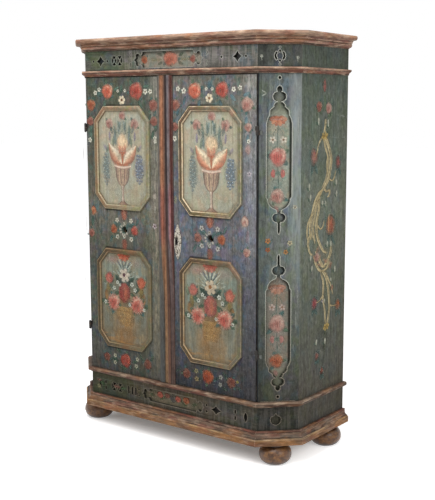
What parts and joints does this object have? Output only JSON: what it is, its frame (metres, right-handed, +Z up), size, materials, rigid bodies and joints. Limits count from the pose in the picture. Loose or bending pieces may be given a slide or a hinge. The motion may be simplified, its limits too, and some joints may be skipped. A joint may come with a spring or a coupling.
{
  "type": "painted cupboard",
  "caption": "Free-standing painted wooden cupboard with hinged doors, canted front corners, pierced fretwork, octagonal door mouldings, a moulded cornice and bun feet.",
  "frame": {"origin": "on the floor, below the middle of the overall box", "axes": "+Z up, -Y out of the doors, +X to the right seen from the front"},
  "size_m": [1.308, 0.535, 1.8],
  "materials": {
    "iron": "forged iron, dark and slightly rusty",
    "escutcheon_iron": "worn pale iron plate, speckled with rust",
    "turned_foot": "glossy brown stained and varnished softwood",
    "field_moulding": "worn marbled red-brown paint on softwood",
    "meeting_strip": "worn red-brown paint on softwood",
    "marbled_moulding": "worn marbled ochre and red-brown paint on softwood",
    "cornice": "worn marbled red-brown paint on softwood",
    "door_paint": "aged blue-green paint with painted flowers on softwood",
    "carcass_green": "aged dark green paint with painted scrolls on softwood",
    "fretwork_green": "aged blue-green paint on pierced softwood",
    "bare_wood": "unpainted aged softwood, planed"
  },
  "bodies": {
    "carcass": {"foot_front_left": "turned_foot", "foot_front_right": "turned_foot", "foot_rear_left": "turned_foot", "foot_rear_right": "turned_foot", "base_frame": "bare_wood", "base_moulding_front": "marbled_moulding", "base_moulding_right": "marbled_moulding", "base_moulding_left": "marbled_moulding", "plinth_front": "carcass_green", "plinth_right": "carcass_green", "plinth_left": "carcass_green", "plinth_back": "bare_wood", "plinth_fretwork": "fretwork_green", "waist_moulding_front": "marbled_moulding", "waist_moulding_right": "marbled_moulding", "waist_moulding_left": "marbled_moulding", "waist_rail_back": "bare_wood", "floor_board": "bare_wood", "side_left": "carcass_green", "side_right": "carcass_green", "cant_board_left": "carcass_green", "cant_board_right": "carcass_green", "cant_fretwork_left": "fretwork_green", "cant_fretwork_right": "fretwork_green", "back_planks": "bare_wood", "shelf_lower": "bare_wood", "shelf_middle": "bare_wood", "shelf_upper": "bare_wood", "shelf_cleats": "bare_wood", "top_rail": "bare_wood", "frieze_front": "carcass_green", "frieze_fretwork": "fretwork_green", "upper_moulding_front": "marbled_moulding", "upper_moulding_right": "marbled_moulding", "upper_moulding_left": "marbled_moulding", "top_board": "bare_wood", "cornice_front": "cornice", "cornice_right": "cornice", "cornice_left": "cornice", "hinge_pintles": "iron"},
    "left_door": {"left_door_leaf": "door_paint", "left_door_upper_moulding": "field_moulding", "left_door_lower_moulding": "field_moulding", "left_door_ledges": "bare_wood", "left_door_bead": "meeting_strip", "left_door_hinge_straps": "iron", "lock_keeper": "iron", "left_door_bolt_plate": "iron"},
    "right_door": {"right_door_leaf": "door_paint", "right_door_upper_moulding": "field_moulding", "right_door_lower_moulding": "field_moulding", "right_door_ledges": "bare_wood", "right_door_cover_strip": "meeting_strip", "right_door_hinge_straps": "iron", "lock_case": "iron", "escutcheon": "escutcheon_iron"},
    "lock_bolt": {"lock_bolt": "iron"},
    "left_door_bolt": {"left_door_bolt": "iron"}
  },
  "joints": [
    {"name": "right_door_hinge", "type": "hinge", "parent": "carcass", "child": "right_door", "pos_m": [0.48463, -0.23099, 0.48], "axis": [0, 0, 1], "range_deg": [0, 180]},
    {"name": "left_door_hinge", "type": "hinge", "parent": "carcass", "child": "left_door", "pos_m": [-0.48463, -0.23099, 0.48], "axis": [0, 0, -1], "range_deg": [0, 180]},
    {"name": "lock_bolt_slide", "type": "slide", "parent": "right_door", "child": "lock_bolt", "axis": [-1, 0, 0], "range_m": [0, 0.02]},
    {"name": "left_door_bolt_slide", "type": "slide", "parent": "left_door", "child": "left_door_bolt", "axis": [0, 0, 1], "range_m": [0, 0.018]}
  ]
}
